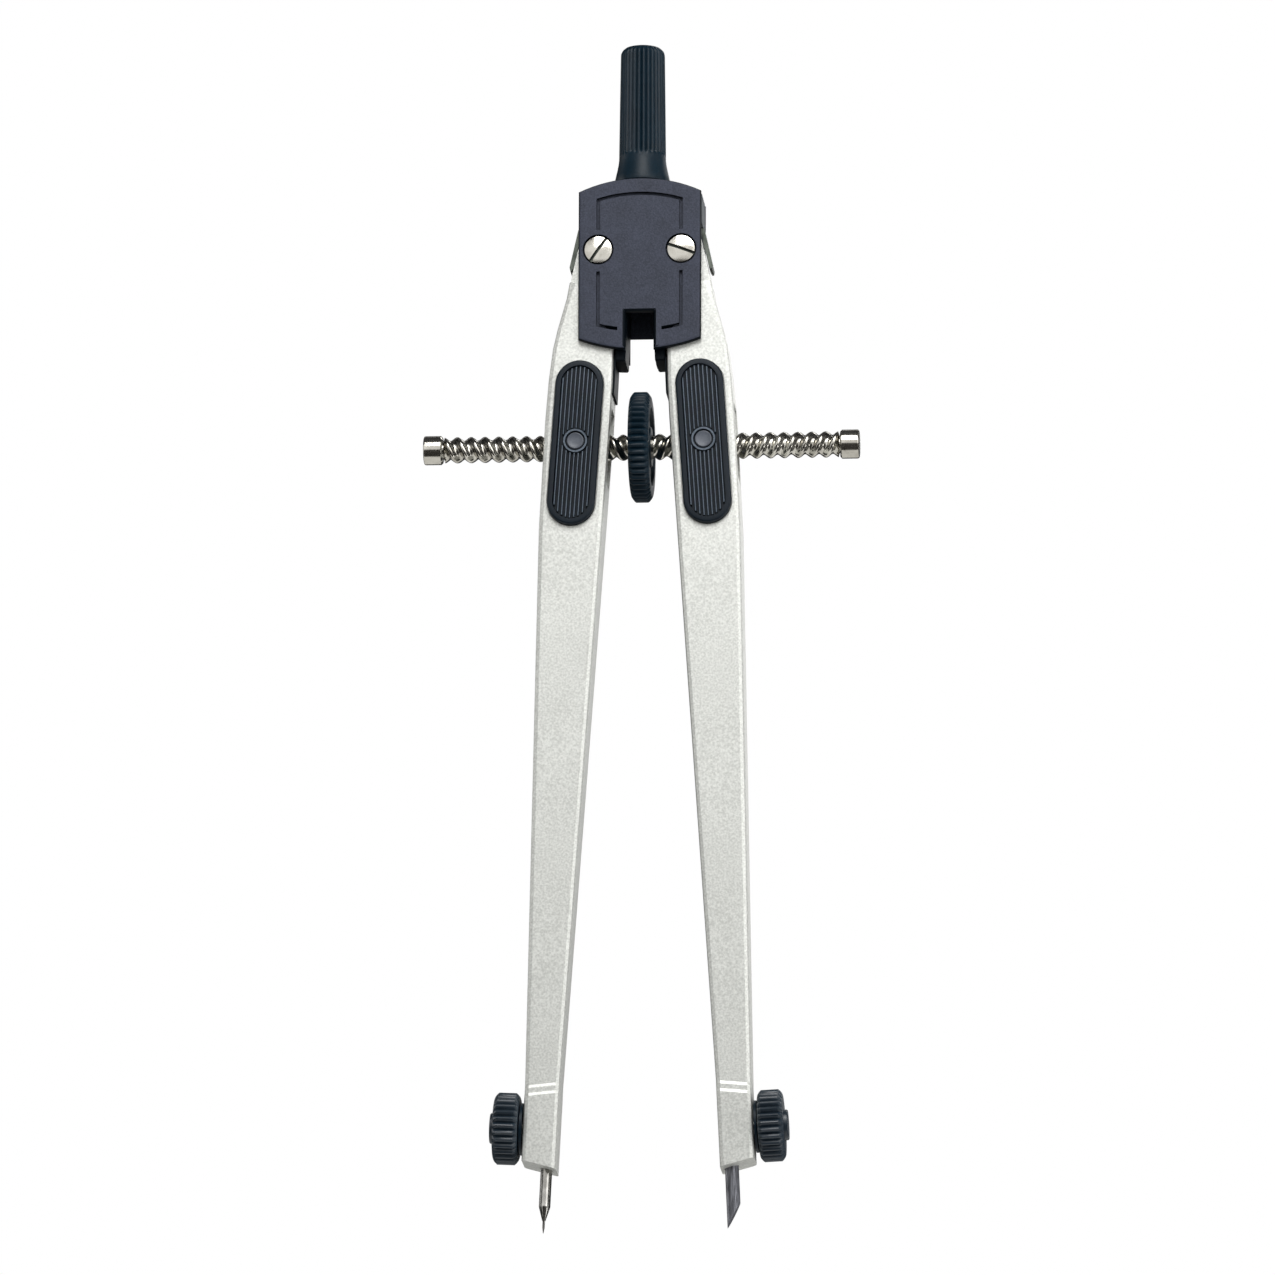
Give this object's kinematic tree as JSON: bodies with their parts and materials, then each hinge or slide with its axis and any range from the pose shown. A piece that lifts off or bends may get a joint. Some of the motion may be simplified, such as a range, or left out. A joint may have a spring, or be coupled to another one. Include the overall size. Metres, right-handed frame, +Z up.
{
  "type": "drawing compass",
  "caption": "Quick-set drawing compass with cast legs on a geared head, a threaded spindle with a centre wheel, and clamped needle and lead feet.",
  "frame": {"origin": "midway between the two feet at the level of the needle's point", "axes": "+Z up the handle, +X from the needle leg to the lead leg, the front cover faces -Y"},
  "size_m": [0.063, 0.016, 0.175],
  "materials": {
    "black_plastic": "satin moulded nylon",
    "cover_plastic": "matt moulded cover",
    "silver_paint": "satin silver lacquer on a zinc casting",
    "bare_metal": "bare stamped strip",
    "nickel": "nickel plate",
    "steel": "ground steel",
    "graphite": "drawn graphite lead"
  },
  "bodies": {
    "head": {"front_cover": "cover_plastic", "rear_cover": "cover_plastic", "head_block": "black_plastic", "handle_grip": "black_plastic", "handle_stem": "steel", "left_pivot_screw": "nickel", "right_pivot_screw": "nickel", "left_pivot_nut": "nickel", "right_pivot_nut": "nickel"},
    "left_leg": {"left_leg": "silver_paint", "left_hinge_insert": "black_plastic", "left_side_plate": "bare_metal", "left_front_pad": "black_plastic", "left_rear_pad": "black_plastic", "left_clamp_washer": "black_plastic"},
    "right_leg": {"right_leg": "silver_paint", "right_hinge_insert": "black_plastic", "right_side_plate": "bare_metal", "right_front_pad": "black_plastic", "right_rear_pad": "black_plastic", "right_clamp_washer": "black_plastic"},
    "left_clamp": {"left_clamp_knob": "black_plastic", "left_clamp_screw": "steel"},
    "right_clamp": {"right_clamp_knob": "black_plastic", "right_clamp_screw": "steel"},
    "needle": {"needle": "steel"},
    "lead": {"lead": "graphite"},
    "left_trunnion": {"left_trunnion_nut": "black_plastic"},
    "right_trunnion": {"right_trunnion_nut": "black_plastic"},
    "spindle_ends": {"left_end_cap": "nickel", "right_end_cap": "nickel"},
    "spindle": {"spindle": "nickel", "adjusting_wheel": "black_plastic"}
  },
  "joints": [
    {"name": "left_leg_open", "type": "hinge", "parent": "head", "child": "left_leg", "pos_m": [-0.006, 0, 0.1436], "axis": [0, 1, 0], "range_deg": [-4.7, 27]},
    {"name": "right_leg_open", "type": "hinge", "parent": "head", "child": "right_leg", "pos_m": [0.006, 0, 0.1436], "axis": [0, -1, 0], "range_deg": [-4.7, 27]},
    {"name": "left_nut_swivel", "type": "hinge", "parent": "left_leg", "child": "left_trunnion", "pos_m": [-0.00925, 0, 0.1153], "axis": [0, 1, 0], "range_deg": [-27, 4.7]},
    {"name": "right_nut_swivel", "type": "hinge", "parent": "right_leg", "child": "right_trunnion", "pos_m": [0.00925, 0, 0.1153], "axis": [0, -1, 0], "range_deg": [-27, 4.7]},
    {"name": "spindle_travel", "type": "slide", "parent": "left_trunnion", "child": "spindle_ends", "axis": [1, 0, 0], "range_m": [-0.00222, 0.01273]},
    {"name": "wheel_spin", "type": "hinge", "parent": "spindle_ends", "child": "spindle", "pos_m": [0, 0, 0.1153], "axis": [1, 0, 0], "range_deg": [-199, 1141]},
    {"name": "left_clamp_turn", "type": "hinge", "parent": "left_leg", "child": "left_clamp", "pos_m": [-0.012, 0, 0.01494], "axis": [-0.9989, 0, 0.0466], "range_deg": [0, 720]},
    {"name": "right_clamp_turn", "type": "hinge", "parent": "right_leg", "child": "right_clamp", "pos_m": [0.012, 0, 0.01494], "axis": [0.9989, 0, 0.0466], "range_deg": [0, 720]},
    {"name": "needle_slide", "type": "slide", "parent": "left_leg", "child": "needle", "axis": [-0.0466, 0, -0.9989], "range_m": [0, 0.004]},
    {"name": "lead_slide", "type": "slide", "parent": "right_leg", "child": "lead", "axis": [0.0466, 0, -0.9989], "range_m": [0, 0.004]}
  ],
  "couplings": [
    {"joint": "right_leg_open", "follows": "left_leg_open", "ratio": 1},
    {"joint": "left_nut_swivel", "follows": "left_leg_open", "ratio": -1},
    {"joint": "right_nut_swivel", "follows": "left_leg_open", "ratio": -1},
    {"joint": "spindle_travel", "follows": "left_leg_open", "m_per_rad": 0.02689},
    {"joint": "wheel_spin", "follows": "left_leg_open", "ratio": 42.239}
  ]
}
